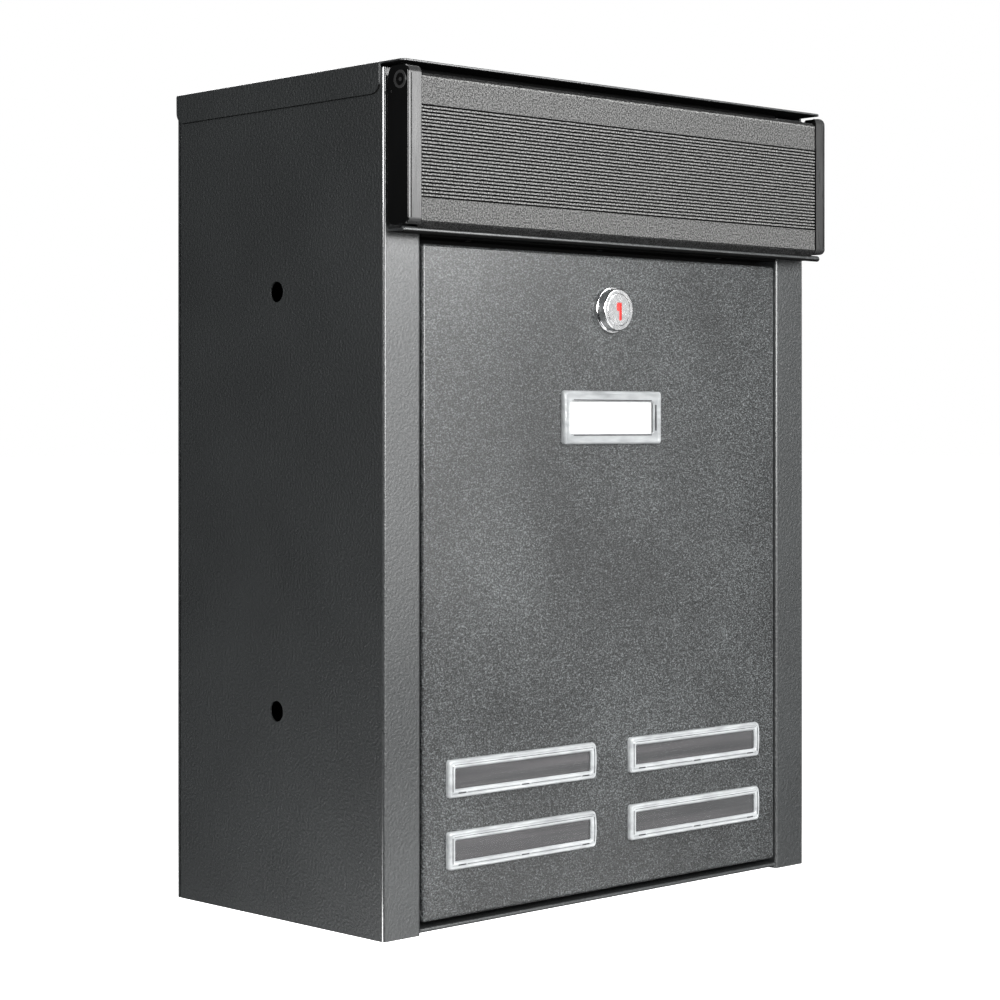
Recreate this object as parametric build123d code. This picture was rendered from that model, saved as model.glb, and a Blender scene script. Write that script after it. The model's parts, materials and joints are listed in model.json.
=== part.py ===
from build123d import *
import os
from math import sqrt

# Wall mounted mailbox of folded steel sheet, millimetres, +Z up, front towards -Y, X to the right.
# Every piece is modelled with Z = 0 at the feet of the side sheets and Y = 0 on the wall. The
# written files are lowered by half the height, which puts the origin at the centre of the back.

# Case
WIDTH = 300.0
HEIGHT = 400.0
DEPTH = 155.0
SHEET = 1.0
BEND = 1.5
STILE_WIDTH = 22.7
STILE_RETURN = 16.0
REAR_FLANGE = 15.0
SIDE_HOLE_R = 5.0
SIDE_HOLE_HEIGHTS = (99.0, 299.0)
WALL_HOLE_R = 3.25
WALL_HOLES_X = 200.0
WALL_HOLES_Z = 300.0
FLOOR_LIFT = 1.0
FLOOR_FLANGE = 12.0
FLOOR_HEM = 6.0
RIVET_R = 1.6
RIVET_HOLE_R = 1.65
RIVET_HEAD_R = 3.0
RIVET_HEAD = 1.0
RIVET_HEAD_ROUND = 0.6
BACK_RIVET_HEIGHTS = (20.0, 140.0, 260.0, 380.0)
HEM_GAP = 0.6

# Lid, rising slightly to the front, with the eave over the flap
LID_SHEET = 1.2
LID_TILT = 0.5
LID_FLANGE = 14.5
LID_FLANGE_CORNER = 5.5
LID_FRONT_GAP = 2.3
EAVE = 12.5
EAVE_CORNER = 2.5
EAVE_HALF_WIDTH = WIDTH / 2 - 0.4
EAVE_EDGE_R = 0.45

# Mouth of the box
LEDGE_TOP = 324.8
LEDGE_SHEET = 1.2
BEAD_R = 1.5
BEAD_END_R = 0.9
LEDGE_RIVETS_X = (-90.0, 0.0, 90.0)
LEDGE_HALF_WIDTH = WIDTH / 2 - 1.0
LEDGE_INNER_DEPTH = 15.5
STRIKE_BOTTOM = 309.0
RAIL_SETBACK = 0.4
HEADER_BOTTOM = 366.0
HEADER_FLANGE = 14.0
HEADER_SETBACK = 0.5

# Flap over the mouth
FLAP_FRONT = 15.4
FLAP_SHEET = 1.5
FLAP_HALF_WIDTH = 140.8
FLAP_FACE_TOP = 393.9
FLAP_FACE_BOTTOM = 327.7
FLAP_TOP_BEVEL = 1.9
FLAP_BOTTOM_BEVEL = 2.6
FLAP_TOP_RETURN = 6.0
GROOVES = 27
GROOVE_PITCH = 1.6
GROOVE_TOP = 380.8
GROOVE_WIDTH = 0.85
GROOVE_DEPTH = 1.0
CAP_HALF_WIDTH = 149.3
CAP_FRONT = 15.85
CAP_REAR = 1.0
CAP_TOP = 398.8
CAP_BOTTOM = 326.3
CAP_CHEEK = 2.0
CAP_BAR_WIDTH = 7.9
CAP_BAR = 2.0
CAP_TOP_R = 4.0
CAP_BOTTOM_R = 3.0
CAP_HEEL_R = 4.0
CAP_EDGE_R = 0.9
CAP_LINE = 1.6
CAP_LINE_SIZE = 0.5
TONGUE_LENGTH = 19.0
TONGUE = 1.6
TONGUE_BOTTOM = 335.0
TONGUE_TOP = 384.0
PIVOT_Y = -(DEPTH + 10.2)
PIVOT_Z = 392.0
PIN_R = 1.55
PIN_HOLE_R = 1.6
PIN_HEAD_R = 4.2
PIN_HEAD_RECESS_R = 2.9
PIN_HEAD_SUNK = 0.8
PIN_HEAD_PROUD = 0.3
PIN_DISH = 0.8
PIN_DOT_R = 0.9
PIN_END = 1.5
EAR_X = 144.0
EAR_SHEET = 1.2
EAR_R = 3.6
BRACKET_INNER_X = 130.5
BRACKET_BOTTOM = 384.0
BRACKET_TOP = 397.5
BRACKET_RIVET_INSET = 3.5
NIB_Y = (-(DEPTH + 4.4), -(DEPTH + 1.4))
NIB_Z = (386.3, 387.5)
NIB_PROUD = 0.3

# Door
DOOR_HALF_WIDTH = 126.0
DOOR_BOTTOM = 5.6
DOOR_TOP = 319.5
DOOR_FLANGE = 12.0
HINGE_Y = -150.6
HINGE_Z = 9.8
HINGE_PIN_R = 2.0
HINGE_HOLE_R = 2.05
HINGE_HEAD_R = 2.9
HINGE_HEAD = 1.6
HINGE_TIP = 2.5

# Cam lock
LOCK_Z = 292.5
LOCK_BASE_R = 11.6
LOCK_BASE = 1.5
LOCK_HEAD_R = 10.9
LOCK_FACE_R = 10.35
LOCK_HEAD = 5.5
LOCK_BARREL_R = 9.3
LOCK_FLATS = 16.0
LOCK_BARREL_END = -139.0
PLUG_FACE_R = 8.05
PLUG_FACE = 2.6
PLUG_STEM_R = 6.5
PLUG_CLEARANCE = 0.06
NUT_FLATS = 23.0
NUT = 4.0
WASHER_R = 12.5
WASHER = 0.8
CAM_SHEET = 2.0
CAM_REACH = 27.0
CAM_WIDTH = 14.0
CAM_SQUARE = 8.0
CAM_GAP = 0.7
SCREW_R = 2.0
SCREW_HEAD_R = 5.6
SCREW_HEAD = 2.2
SCREW_HEAD_ROUND = 0.7
SCREW_DEPTH = 8.0
SCREW_LENGTH = 7.5
CROSS_LENGTH = 4.4
CROSS_WIDTH = 0.8
CROSS_DEPTH = 1.0
CAM_CORNER_R = 2.5
KEYWAY_DEPTH = 2.0
KEYWAY_LEG_AT = (1.1, -0.8)
KEYWAY_LEG = (1.8, 8.8)
KEYWAY_LEG_R = 0.5
KEYWAY_BULGE_AT = (0.1, 1.5)
KEYWAY_BULGE = (3.4, 4.2)
KEYWAY_BULGE_R = 1.0
SLIT_AT = (1.55, -0.8)
SLIT = (0.35, 7.6)
SLIT_DEPTH = 0.6
SHUTTER_RECESS = 0.4

# Name plates
MAIN_PLATE = (70.0, 26.5)
MAIN_WINDOW = (59.0, 15.6)
MAIN_PLATE_Z = 239.2
MAIN_WINDOW_X = -0.7
SMALL_PLATE = (99.5, 17.9)
SMALL_WINDOW = (91.0, 9.6)
SMALL_PLATE_X = 61.8
SMALL_PLATE_ROWS = {"upper": 70.5, "lower": 36.9}
PLATE = 2.5
PLATE_CORNER = 1.6
PLATE_EDGE = 0.9
WINDOW_RECESS = 0.5
CARD = 0.4
CARD_POCKET = 0.8
CARD_MARGIN = 1.0
CARD_SIDE_GAP = 0.2
CARD_DEPTH = 0.2
CARD_SLOT = 13.0
CARD_SLOT_WIDTH = 1.0
CARD_SLOT_GAP = 1.0
BOW = 1.0
WINDOW_CORNER = 0.8
CLIP = (5.0, 0.9)
CLIP_DEPTH = 0.4
CLIP_INSET = 4.0
CLIP_DROP = 0.5

FRONT = -DEPTH
HALF = WIDTH / 2
STILE_EDGE = HALF - STILE_WIDTH
LID_BOTTOM = HEIGHT - LID_SHEET
CASE_TOP = HEIGHT - BEND


def block(x, y, z):
    """A box from its low and high limit along each axis."""
    size = [high - low for low, high in (x, y, z)]
    middle = [(high + low) / 2 for low, high in (x, y, z)]
    return Pos(*middle) * Box(*size)


def rod(centre, radius, length, axis="Y"):
    """A cylinder that starts at centre and runs length along +axis."""
    turn = {"X": Rotation(0, 90, 0), "Y": Rotation(-90, 0, 0), "Z": Rotation(0, 0, 0)}[axis]
    tube = Cylinder(radius, length, align=(Align.CENTER, Align.CENTER, Align.MIN))
    return Pos(*centre) * turn * tube


def mirror_x(piece):
    return mirror(piece, about=Plane.YZ)


def folded(points, thickness, radius):
    """The cross-section of a folded sheet: its outer line, thickened to the left."""
    line = FilletPolyline(*points, radius=radius)
    return make_face(offset(line, amount=thickness, side=Side.LEFT))


def slab(outline, plane, low, high):
    """A face drawn on a plane through the origin, extruded from low to high along its normal."""
    face = plane.offset(low) * outline
    return extrude(face, amount=high - low)


# XZ faces seen from the front, and YZ faces seen from the right
FRONT_PLANE = Plane(origin=(0, 0, 0), x_dir=(1, 0, 0), z_dir=(0, -1, 0))
SIDE_PLANE = Plane.YZ


def left_side():
    section = folded(
        [
            (-HALF + REAR_FLANGE, -SHEET),
            (-HALF, -SHEET),
            (-HALF, FRONT),
            (-STILE_EDGE, FRONT),
            (-STILE_EDGE, FRONT + STILE_RETURN),
        ],
        SHEET,
        BEND,
    )
    sheet = extrude(section, amount=CASE_TOP)
    for height in SIDE_HOLE_HEIGHTS:
        sheet -= rod((-HALF - SHEET, -DEPTH / 2, height), SIDE_HOLE_R, 3 * SHEET, "X")
    hinge_start = -STILE_EDGE - 2 * SHEET
    sheet -= rod((hinge_start, HINGE_Y, HINGE_Z), HINGE_HOLE_R, 3 * SHEET, "X")
    for x, z in bracket_rivet_places():
        sheet -= rod((-x, FRONT - SHEET, z), RIVET_HOLE_R, 3 * SHEET)
    for x, z in back_rivet_places():
        if x < 0:
            sheet -= rod((x, -3 * SHEET, z), RIVET_HOLE_R, 3 * SHEET)
    return sheet


def back_rivet_places():
    x = HALF - REAR_FLANGE / 2 - SHEET / 2
    return [(sign * x, z) for sign in (-1, 1) for z in BACK_RIVET_HEIGHTS]


def bracket_rivet_places():
    x = (BRACKET_INNER_X + EAR_X) / 2 - 1.0
    return [(x, BRACKET_BOTTOM + BRACKET_RIVET_INSET), (x, BRACKET_TOP - BRACKET_RIVET_INSET)]


def back_panel():
    panel = block((-HALF, HALF), (-SHEET, 0), (0, CASE_TOP))
    for x in (-WALL_HOLES_X / 2, WALL_HOLES_X / 2):
        for z in (HEIGHT / 2 - WALL_HOLES_Z / 2, HEIGHT / 2 + WALL_HOLES_Z / 2):
            panel -= rod((x, -2 * SHEET, z), WALL_HOLE_R, 3 * SHEET)
    for x, z in back_rivet_places():
        panel -= rod((x, -2 * SHEET, z), RIVET_HOLE_R, 3 * SHEET)
    return panel


def back_rivets():
    """Rivets with their heads inside and their shanks flush with the wall side."""
    rivets = []
    for x, z in back_rivet_places():
        head = rod((x, -2 * SHEET - RIVET_HEAD, z), RIVET_HEAD_R, RIVET_HEAD)
        head = fillet(head.edges().group_by(Axis.Y)[0], RIVET_HEAD_ROUND)
        rivets.append(head + rod((x, -2 * SHEET, z), RIVET_R, 2 * SHEET))
    return rivets


def floor_panel():
    """Tray between the side sheets, with its front edge folded back into a hem."""
    top = FLOOR_LIFT + SHEET
    inner = HALF - SHEET
    stile_back = FRONT + STILE_RETURN
    front = FRONT + HEM_GAP
    rear_inner = HALF - REAR_FLANGE - SHEET
    tray = block((-STILE_EDGE, STILE_EDGE), (front + SHEET, stile_back), (FLOOR_LIFT, top))
    tray += block((-inner, inner), (stile_back, -2 * BEND), (FLOOR_LIFT, top))
    tray += block((-rear_inner, rear_inner), (-2 * BEND, -SHEET), (FLOOR_LIFT, top))
    hem = block((-STILE_EDGE, STILE_EDGE), (front, front + FLOOR_HEM), (FLOOR_LIFT, top + SHEET))
    hem = fillet(hem.edges().filter_by(Axis.X).group_by(Axis.Y)[0], SHEET * 0.9)
    tray += hem
    flange_top = FLOOR_LIFT + FLOOR_FLANGE
    tray += block((-rear_inner, rear_inner), (-2 * SHEET, -SHEET), (FLOOR_LIFT, flange_top))
    for low in (-inner, inner - SHEET):
        tray += block((low, low + SHEET), (stile_back, -2 * BEND), (FLOOR_LIFT, flange_top))
    return tray


def lid():
    """Top sheet with a skirt on each side, running forward as an eave over the flap."""
    half = HALF + LID_SHEET
    skirt_front = FRONT + LID_FRONT_GAP
    section = folded(
        [
            (half, HEIGHT - LID_FLANGE),
            (half, HEIGHT),
            (-half, HEIGHT),
            (-half, HEIGHT - LID_FLANGE),
        ],
        LID_SHEET,
        BEND,
    )
    top = slab(section, FRONT_PLANE, 0, -skirt_front)
    lowest = HEIGHT - LID_FLANGE + 0.1
    corners = [e for e in top.edges().filter_by(Axis.X) if e.center().Z < lowest]
    top = fillet(corners, LID_FLANGE_CORNER)
    eave_depth = EAVE + LID_FRONT_GAP
    outline = Pos(0, skirt_front - eave_depth / 2) * Rectangle(2 * EAVE_HALF_WIDTH, eave_depth)
    outline = fillet(outline.vertices().group_by(Axis.Y)[0], EAVE_CORNER)
    eave = slab(outline, Plane.XY, LID_BOTTOM, HEIGHT)
    eave = fillet(eave.edges().filter_by(Axis.X).group_by(Axis.Y)[0], EAVE_EDGE_R)
    return tilted(top + eave)


def tilted(piece):
    """Turns a piece about the lid's rear top edge, so that the lid rises to the front."""
    return Pos(0, 0, HEIGHT) * Rotation(-LID_TILT, 0, 0) * Pos(0, 0, -HEIGHT) * piece


def mouth_ledge():
    """Lower lip of the mouth: a flat sheet with a rolled bead along its front edge."""
    low, high = LEDGE_TOP - LEDGE_SHEET, LEDGE_TOP
    bead_y = FRONT - EAVE + BEAD_R
    bead_start = (-LEDGE_HALF_WIDTH, bead_y, LEDGE_TOP - LEDGE_SHEET / 2)
    bead = rod(bead_start, BEAD_R, 2 * LEDGE_HALF_WIDTH, "X")
    bead = fillet(bead.edges().filter_by(GeomType.CIRCLE), BEAD_END_R)
    inset = LEDGE_HALF_WIDTH - BEAD_END_R
    sheet = block((-inset, inset), (bead_y, FRONT), (low, high))
    sheet += block((-STILE_EDGE, STILE_EDGE), (FRONT, FRONT + LEDGE_INNER_DEPTH), (low, high))
    for x in LEDGE_RIVETS_X:
        sheet -= rod((x, ledge_rivet_y(), low - SHEET), RIVET_HOLE_R, 4 * SHEET, "Z")
    return sheet + bead


def ledge_rivet_y():
    return FRONT + LEDGE_INNER_DEPTH / 2


def door_rail():
    """Cross-member under the ledge. Its rear leg stops the door and is the strike for the cam."""
    top = LEDGE_TOP - LEDGE_SHEET
    section = folded(
        [
            (FRONT + LEDGE_INNER_DEPTH, STRIKE_BOTTOM),
            (FRONT + LEDGE_INNER_DEPTH, top),
            (FRONT + RAIL_SETBACK, top),
        ],
        SHEET,
        BEND,
    )
    rail = slab(section, SIDE_PLANE, -STILE_EDGE, STILE_EDGE)
    for x in LEDGE_RIVETS_X:
        rail -= rod((x, ledge_rivet_y(), top - 2 * SHEET), RIVET_HOLE_R, 4 * SHEET, "Z")
    return rail


def ledge_rivets():
    rivets = []
    y, rail_bottom = ledge_rivet_y(), LEDGE_TOP - LEDGE_SHEET - SHEET
    for x in LEDGE_RIVETS_X:
        head = rod((x, y, LEDGE_TOP), RIVET_HEAD_R, RIVET_HEAD, "Z")
        head = fillet(head.edges().group_by(Axis.Z)[-1], RIVET_HEAD_ROUND)
        rivets.append(head + rod((x, y, rail_bottom), RIVET_R, LEDGE_TOP - rail_bottom, "Z"))
    return rivets


def mouth_header():
    """Angle under the lid that closes the box above the mouth, tilted with the lid."""
    section = folded(
        [
            (FRONT + HEADER_FLANGE, LID_BOTTOM),
            (FRONT + HEADER_SETBACK, LID_BOTTOM),
            (FRONT + HEADER_SETBACK, HEADER_BOTTOM),
        ],
        SHEET,
        BEND,
    )
    return tilted(slab(section, SIDE_PLANE, -STILE_EDGE, STILE_EDGE))


def flap_bracket_right():
    """Angle on the stile's face whose ear carries the flap's pivot."""
    base_y = FRONT - EAR_SHEET
    ear_end = EAR_X + EAR_SHEET
    base = block((BRACKET_INNER_X, ear_end), (base_y, FRONT), (BRACKET_BOTTOM, BRACKET_TOP))
    arm = block((EAR_X, ear_end), (PIVOT_Y, base_y), (PIVOT_Z - EAR_R, PIVOT_Z + EAR_R))
    tip = rod((EAR_X, PIVOT_Y, PIVOT_Z), EAR_R, EAR_SHEET, "X")
    bracket = base + arm + tip
    bracket -= rod((EAR_X - 1, PIVOT_Y, PIVOT_Z), PIN_HOLE_R, EAR_SHEET + 2, "X")
    for x, z in bracket_rivet_places():
        bracket -= rod((x, base_y - 1, z), RIVET_HOLE_R, EAR_SHEET + 2)
    return bracket


def bracket_rivets():
    rivets = []
    base_y = FRONT - EAR_SHEET
    for sign in (-1, 1):
        for x, z in bracket_rivet_places():
            head = rod((sign * x, base_y - RIVET_HEAD, z), RIVET_HEAD_R, RIVET_HEAD)
            head = fillet(head.edges().group_by(Axis.Y)[0], RIVET_HEAD_ROUND)
            rivets.append(head + rod((sign * x, base_y, z), RIVET_R, EAR_SHEET + SHEET))
    return rivets


def door_hinge_pins():
    """Headed pins fixed in the stiles, which the door's side flanges turn on."""
    pins = []
    head_start = STILE_EDGE + SHEET
    for sign in (-1, 1):
        tip = sign * (DOOR_HALF_WIDTH - SHEET - HINGE_TIP)
        head = sign * head_start
        outer = sign * (head_start + HINGE_HEAD)
        shank = rod((min(tip, head), HINGE_Y, HINGE_Z), HINGE_PIN_R, abs(head - tip), "X")
        pins.append(shank + rod((min(head, outer), HINGE_Y, HINGE_Z), HINGE_HEAD_R, HINGE_HEAD, "X"))
    return pins


def flap_plate():
    """Folded or extruded flap, with fine grooves along the middle of its face."""
    face = FRONT - FLAP_FRONT
    top_y = face + FLAP_TOP_BEVEL
    top_z = FLAP_FACE_TOP + FLAP_TOP_BEVEL
    section = folded(
        [
            (top_y + FLAP_TOP_RETURN, top_z),
            (top_y, top_z),
            (face, FLAP_FACE_TOP),
            (face, FLAP_FACE_BOTTOM),
            (face + FLAP_BOTTOM_BEVEL, FLAP_FACE_BOTTOM - FLAP_BOTTOM_BEVEL),
        ],
        FLAP_SHEET,
        FLAP_SHEET + 0.2,
    )
    plate = slab(section, SIDE_PLANE, -FLAP_HALF_WIDTH, FLAP_HALF_WIDTH)
    width = 2 * FLAP_HALF_WIDTH + 2
    grooves = [
        Pos(0, face, GROOVE_TOP - index * GROOVE_PITCH) * Box(width, 2 * GROOVE_DEPTH, GROOVE_WIDTH)
        for index in range(GROOVES)
    ]
    return plate - grooves


def cap_outline(front, rear):
    """The cheek seen from the side, with its rear corners rounded to clear the case and the bead."""
    front_y, rear_y = FRONT - front, FRONT - rear
    reach = rear_y - PIVOT_Y
    rise = CAP_TOP - PIVOT_Z
    arc_top = (PIVOT_Y + sqrt(reach**2 - rise**2), CAP_TOP)
    half_rise = rise / 2
    arc_middle = (PIVOT_Y + sqrt(reach**2 - half_rise**2), PIVOT_Z + half_rise)
    edges = Polyline(
        (rear_y, PIVOT_Z),
        (rear_y, CAP_BOTTOM),
        (front_y, CAP_BOTTOM),
        (front_y, CAP_TOP),
        arc_top,
    )
    arc = ThreePointArc(arc_top, arc_middle, (rear_y, PIVOT_Z))
    face = make_face(edges.edges() + arc.edges())
    front_corners = face.vertices().group_by(Axis.X)[0]
    face = fillet(front_corners.sort_by(Axis.Y)[-1], CAP_TOP_R)
    face = fillet(face.vertices().sort_by_distance((front_y, CAP_BOTTOM))[0], CAP_BOTTOM_R)
    return fillet(face.vertices().sort_by_distance((rear_y, CAP_BOTTOM))[0], CAP_HEEL_R)


def flap_cap_right():
    """Moulded end cap: a cheek, a bar beside the flap plate, and a tongue behind it."""
    outline = cap_outline(CAP_FRONT, CAP_REAR)
    inner = CAP_HALF_WIDTH - CAP_BAR_WIDTH
    cheek = slab(outline, SIDE_PLANE, CAP_HALF_WIDTH - CAP_CHEEK, CAP_HALF_WIDTH)
    face_y = FRONT - CAP_FRONT
    bar = slab(outline, SIDE_PLANE, inner, CAP_HALF_WIDTH)
    bar &= block((inner, CAP_HALF_WIDTH), (face_y, face_y + CAP_BAR), (CAP_BOTTOM, CAP_TOP))
    cap = cheek + bar
    outer_edges = [
        e for e in cap.faces().sort_by(Axis.X)[-1].outer_wire().edges() if e.center().Y < PIVOT_Y
    ]
    cap = fillet(outer_edges, CAP_EDGE_R)
    tongue_front = FRONT - FLAP_FRONT + FLAP_SHEET
    tongue_inner = FLAP_HALF_WIDTH - TONGUE_LENGTH
    cap += block(
        (tongue_inner, CAP_HALF_WIDTH - CAP_CHEEK / 2),
        (tongue_front, tongue_front + TONGUE),
        (TONGUE_BOTTOM, TONGUE_TOP),
    )
    line_x = CAP_HALF_WIDTH - CAP_LINE
    line_top, line_bottom = CAP_TOP - CAP_TOP_R, CAP_BOTTOM + CAP_BOTTOM_R
    cap -= block(
        (line_x - CAP_LINE_SIZE, line_x),
        (face_y - 1, face_y + CAP_LINE_SIZE),
        (line_bottom, line_top),
    )
    cap -= rod((CAP_HALF_WIDTH - PIN_HEAD_SUNK, PIVOT_Y, PIVOT_Z), PIN_HEAD_R, 2, "X")
    hole_start = (CAP_HALF_WIDTH - 2 * CAP_CHEEK, PIVOT_Y, PIVOT_Z)
    cap -= rod(hole_start, PIN_HOLE_R, 4 * CAP_CHEEK, "X")
    return cap + block((CAP_HALF_WIDTH - 1, CAP_HALF_WIDTH + NIB_PROUD), NIB_Y, NIB_Z)


def flap_pivot_pins():
    """Pins with a dished round head, sunk in the cheeks and running in the brackets' ears."""
    head_x = CAP_HALF_WIDTH - PIN_HEAD_SUNK
    thickness = PIN_HEAD_SUNK + PIN_HEAD_PROUD
    head = rod((head_x, PIVOT_Y, PIVOT_Z), PIN_HEAD_R, thickness, "X")
    head = fillet(head.edges().group_by(Axis.X)[-1], PIN_HEAD_PROUD * 0.8)
    head -= rod((head_x + thickness - PIN_DISH, PIVOT_Y, PIVOT_Z), PIN_HEAD_RECESS_R, 2, "X")
    dot = rod((head_x, PIVOT_Y, PIVOT_Z), PIN_DOT_R, PIN_DISH, "X")
    shank_start = EAR_X - PIN_END
    shank = rod((shank_start, PIVOT_Y, PIVOT_Z), PIN_R, head_x - shank_start, "X")
    pin = head + dot + shank
    return [pin, mirror_x(pin)]


def door_panel():
    """Pan shaped door: a face with a flange folded back along each side."""
    back = FRONT + DOOR_FLANGE
    pan = block((-DOOR_HALF_WIDTH, DOOR_HALF_WIDTH), (FRONT, back), (DOOR_BOTTOM, DOOR_TOP))
    pan = fillet(pan.edges().filter_by(Axis.Y), BEND)
    pan = fillet(pan.edges().group_by(Axis.Y)[0], BEND)
    half = DOOR_HALF_WIDTH - SHEET
    hollow = block((-half, half), (FRONT + SHEET, back + 1), (DOOR_BOTTOM + SHEET, DOOR_TOP - SHEET))
    pan -= fillet(hollow.edges().filter_by(Axis.Y), BEND - SHEET)
    pan -= rod((0, FRONT - 1, LOCK_Z), LOCK_BARREL_R + 0.1, 3)
    pan -= rod((-DOOR_HALF_WIDTH - 1, HINGE_Y, HINGE_Z), HINGE_HOLE_R, 3, "X")
    pan -= rod((DOOR_HALF_WIDTH - 2, HINGE_Y, HINGE_Z), HINGE_HOLE_R, 3, "X")
    return pan


def lock_housing():
    """Chromed head outside the door and a barrel with two flats through it."""
    face_y = FRONT - LOCK_HEAD
    base = rod((0, FRONT - LOCK_BASE, LOCK_Z), LOCK_BASE_R, LOCK_BASE)
    base = fillet(base.edges().group_by(Axis.Y)[0], 0.5)
    taper = Cone(LOCK_HEAD_R, LOCK_FACE_R, LOCK_HEAD, align=(Align.CENTER, Align.CENTER, Align.MIN))
    head = Pos(0, FRONT, LOCK_Z) * Rotation(90, 0, 0) * taper
    head = fillet(head.edges().group_by(Axis.Y)[0], 0.6)
    barrel = rod((0, FRONT, LOCK_Z), LOCK_BARREL_R, LOCK_BARREL_END - FRONT)
    half = LOCK_FLATS / 2
    barrel &= block((-half, half), (FRONT, LOCK_BARREL_END), (LOCK_Z - 20, LOCK_Z + 20))
    body = base + head + barrel
    body -= rod((0, face_y - 1, LOCK_Z), PLUG_FACE_R + PLUG_CLEARANCE, PLUG_FACE + 1)
    return body - rod((0, face_y, LOCK_Z), PLUG_STEM_R + PLUG_CLEARANCE, 40)


def lock_washer():
    ring = rod((0, FRONT + SHEET, LOCK_Z), WASHER_R, WASHER)
    return ring - rod((0, FRONT, LOCK_Z), LOCK_BARREL_R + 0.1, 5)


def lock_nut():
    start = FRONT + SHEET + WASHER
    corner_r = NUT_FLATS / sqrt(3)
    hexagon = extrude(RegularPolygon(corner_r, 6), amount=NUT)
    hexagon = Pos(0, start, LOCK_Z) * Rotation(-90, 0, 0) * hexagon
    return hexagon - rod((0, start - 1, LOCK_Z), LOCK_BARREL_R, NUT + 2)


def keyway():
    """Key slot: a narrow leg with a wider upper half, drawn about the plug's axis."""
    leg = Pos(*KEYWAY_LEG_AT) * RectangleRounded(*KEYWAY_LEG, KEYWAY_LEG_R)
    bulge = Pos(*KEYWAY_BULGE_AT) * RectangleRounded(*KEYWAY_BULGE, KEYWAY_BULGE_R)
    return leg + bulge


def lock_plug():
    """Turning plug: a face disc, a stem, and a square that drives the cam."""
    face_y = FRONT - LOCK_HEAD
    cam_y = LOCK_BARREL_END + CAM_GAP
    disc = rod((0, face_y, LOCK_Z), PLUG_FACE_R, PLUG_FACE - PLUG_CLEARANCE)
    disc = fillet(disc.edges().group_by(Axis.Y)[0], 0.3)
    stem_start = face_y + PLUG_FACE - PLUG_CLEARANCE
    plug = disc + rod((0, stem_start, LOCK_Z), PLUG_STEM_R, cam_y - stem_start)
    half = CAM_SQUARE / 2
    plug += block((-half, half), (cam_y, cam_y + CAM_SHEET), (LOCK_Z - half, LOCK_Z + half))
    slot_end = -(face_y + KEYWAY_DEPTH)
    plug -= Pos(0, 0, LOCK_Z) * slab(keyway(), FRONT_PLANE, slot_end, -face_y + 1)
    screw_start = cam_y + CAM_SHEET - SCREW_DEPTH
    return plug - rod((0, screw_start, LOCK_Z), SCREW_R, SCREW_DEPTH + 1)


def keyway_shutter():
    """Coloured shutter behind the key slot, with a slit for the key."""
    face_y = FRONT - LOCK_HEAD
    low, high = -(face_y + KEYWAY_DEPTH), -(face_y + SHUTTER_RECESS)
    shutter = slab(keyway(), FRONT_PLANE, low, high)
    slit = Pos(*SLIT_AT) * Rectangle(*SLIT)
    shutter -= slab(slit, FRONT_PLANE, high - SLIT_DEPTH, high + 1)
    return Pos(0, 0, LOCK_Z) * shutter


def lock_cam():
    """Cam in the unlocked position, pointing to the right. A quarter turn puts it behind the rail."""
    start = LOCK_BARREL_END + CAM_GAP
    half = CAM_WIDTH / 2
    cam = rod((0, start, LOCK_Z), half, CAM_SHEET)
    arm = block((0, CAM_REACH), (start, start + CAM_SHEET), (LOCK_Z - half, LOCK_Z + half))
    arm = fillet(arm.edges().filter_by(Axis.Y).group_by(Axis.X)[-1], CAM_CORNER_R)
    square = CAM_SQUARE / 2
    through = (start - 1, start + CAM_SHEET + 1)
    hole = block((-square, square), through, (LOCK_Z - square, LOCK_Z + square))
    return cam + arm - hole


def cam_screw():
    back = LOCK_BARREL_END + CAM_GAP + CAM_SHEET
    head = rod((0, back, LOCK_Z), SCREW_HEAD_R, SCREW_HEAD)
    head = fillet(head.edges().group_by(Axis.Y)[-1], SCREW_HEAD_ROUND)
    screw = head + rod((0, back - SCREW_LENGTH, LOCK_Z), SCREW_R, SCREW_LENGTH)
    cut = (back + SCREW_HEAD - CROSS_DEPTH, back + SCREW_HEAD + 1)
    for width, height in ((CROSS_LENGTH, CROSS_WIDTH), (CROSS_WIDTH, CROSS_LENGTH)):
        screw -= block((-width / 2, width / 2), cut, (LOCK_Z - height / 2, LOCK_Z + height / 2))
    return screw


def plate_outline(size, bow):
    """Name plate outline with small round corners, its right end bowed outwards."""
    half_width, half_height = size[0] / 2, size[1] / 2
    if not bow:
        return RectangleRounded(size[0], size[1], PLATE_CORNER)
    low, high = (half_width - bow, -half_height), (half_width - bow, half_height)
    sides = Polyline(high, (-half_width, half_height), (-half_width, -half_height), low)
    end = ThreePointArc(low, (half_width, 0), high)
    face = make_face(sides.edges() + end.edges())
    return fillet(face.vertices(), PLATE_CORNER)


def name_cover(size, window, x, z, window_x=0.0, bow=0.0):
    """Clear cover with a sunk window in front and a pocket for its card behind."""
    place = Pos(x, 0, z)
    front = DEPTH + PLATE
    body = slab(plate_outline(size, bow), FRONT_PLANE, DEPTH, front)
    body = chamfer(body.faces().sort_by(Axis.Y)[0].outer_wire().edges(), PLATE_EDGE)
    sunk = Pos(window_x, 0) * RectangleRounded(*window, WINDOW_CORNER)
    body -= slab(sunk, FRONT_PLANE, front - WINDOW_RECESS, front + 1)
    pocket = Pos(window_x, 0) * Rectangle(window[0] + CARD_MARGIN, window[1] + CARD_MARGIN)
    body -= slab(pocket, FRONT_PLANE, DEPTH - 1, DEPTH + CARD_POCKET)
    return place * body


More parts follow.
